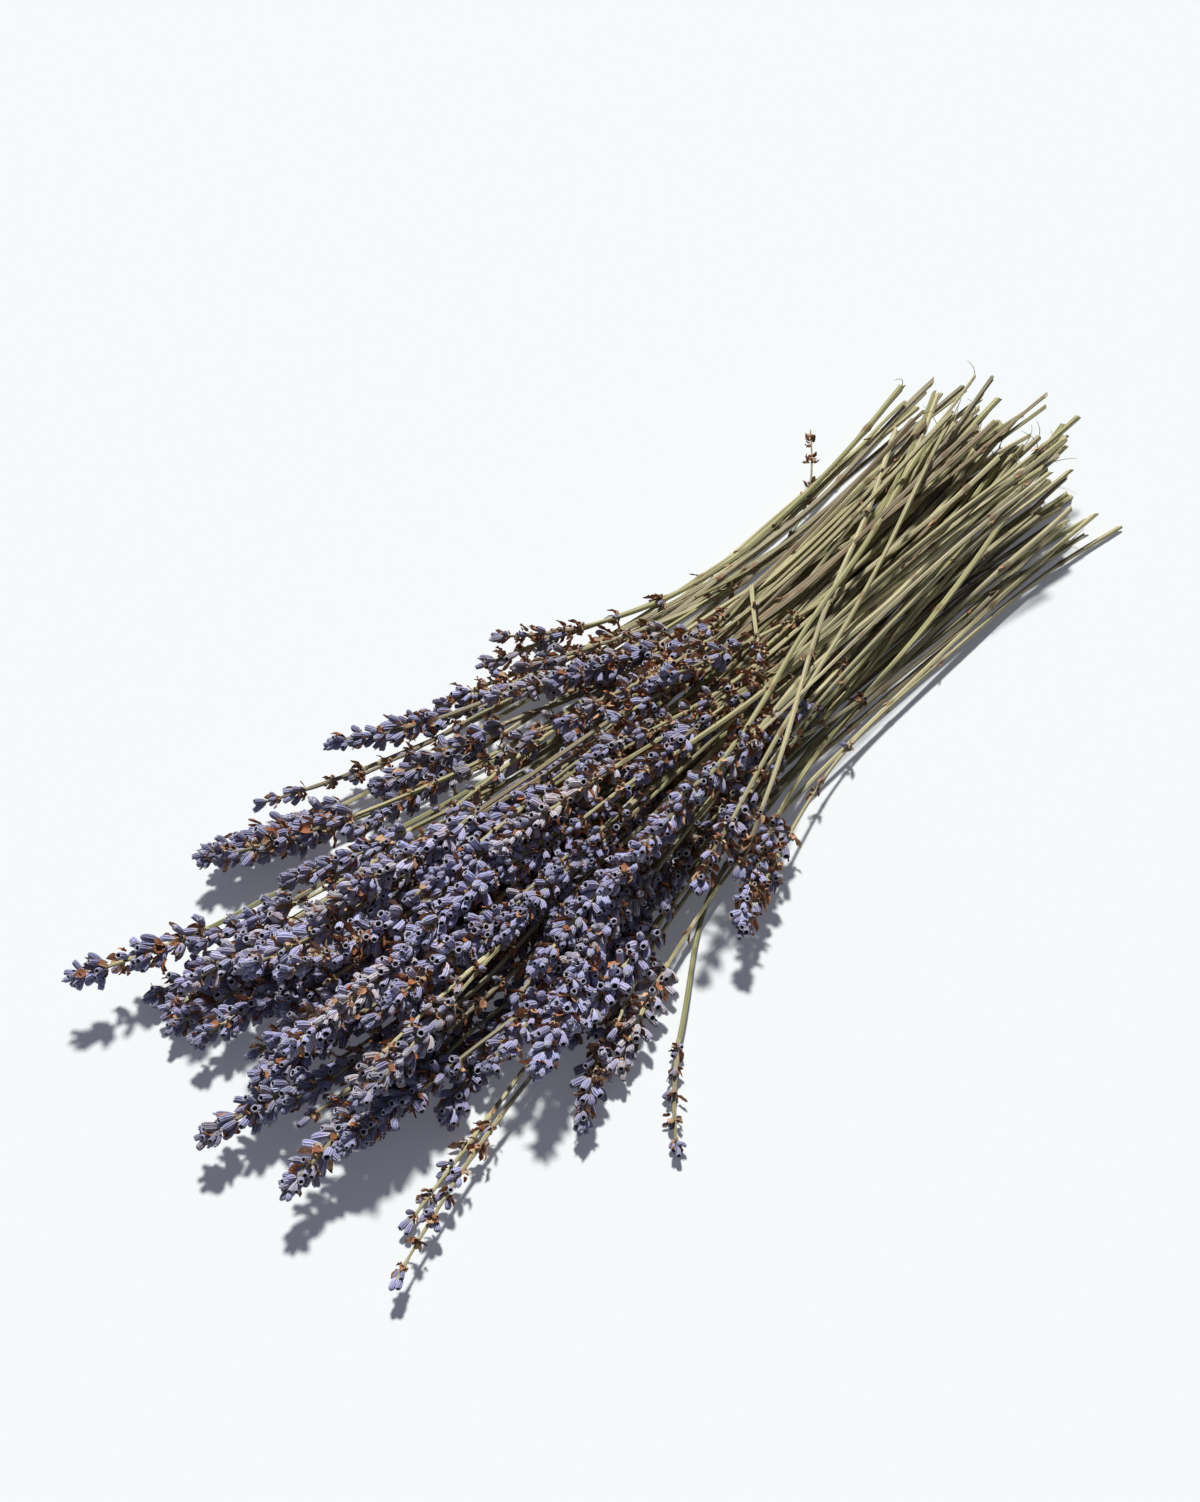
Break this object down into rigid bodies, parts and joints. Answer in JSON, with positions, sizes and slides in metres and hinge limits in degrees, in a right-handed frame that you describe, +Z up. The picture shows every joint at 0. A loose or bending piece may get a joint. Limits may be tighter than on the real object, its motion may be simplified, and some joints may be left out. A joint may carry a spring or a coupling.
{
  "type": "bunch of dried lavender",
  "caption": "Loose bunch of dried lavender lying on its side: violet-grey flower heads fanned out at one end, thin square stems gathered towards ragged cut ends at the other.",
  "frame": {"origin": "middle of the bunch's box, on the surface that it lies on", "axes": "+X from the flower heads to the cut ends of the stems, +Y across the bunch, +Z up"},
  "size_m": [0.3838, 0.1806, 0.0411],
  "materials": {
    "stem": "matt, dry, khaki green to tan, finely ribbed",
    "flower_head": "matt, dry, violet grey calyces with rusty brown bracts"
  },
  "bodies": {
    "root": {"stems_01": "stem", "stems_02": "stem", "stems_03": "stem", "stems_04": "stem", "stems_05": "stem", "stems_06": "stem", "stems_07": "stem", "stems_08": "stem", "stems_09": "stem", "stems_10": "stem", "stems_11": "stem", "stems_12": "stem", "stems_13": "stem", "stems_14": "stem", "stems_15": "stem", "stems_16": "stem", "stems_17": "stem", "stems_18": "stem", "stems_19": "stem", "stems_20": "stem", "stems_21": "stem", "stems_22": "stem", "heads_01": "flower_head", "heads_02": "flower_head", "heads_03": "flower_head", "heads_04": "flower_head", "heads_05": "flower_head", "heads_06": "flower_head", "heads_07": "flower_head", "heads_08": "flower_head", "heads_09": "flower_head", "heads_10": "flower_head", "heads_11": "flower_head", "heads_12": "flower_head", "heads_13": "flower_head", "heads_14": "flower_head", "heads_15": "flower_head", "heads_16": "flower_head", "heads_17": "flower_head", "heads_18": "flower_head", "heads_19": "flower_head", "heads_20": "flower_head", "heads_21": "flower_head", "heads_22": "flower_head", "heads_23": "flower_head", "heads_24": "flower_head", "heads_25": "flower_head", "heads_26": "flower_head", "heads_27": "flower_head", "heads_28": "flower_head", "heads_29": "flower_head", "heads_30": "flower_head", "heads_31": "flower_head", "heads_32": "flower_head", "heads_33": "flower_head", "heads_34": "flower_head", "heads_35": "flower_head", "heads_36": "flower_head", "heads_37": "flower_head", "heads_38": "flower_head"}
  },
  "joints": []
}
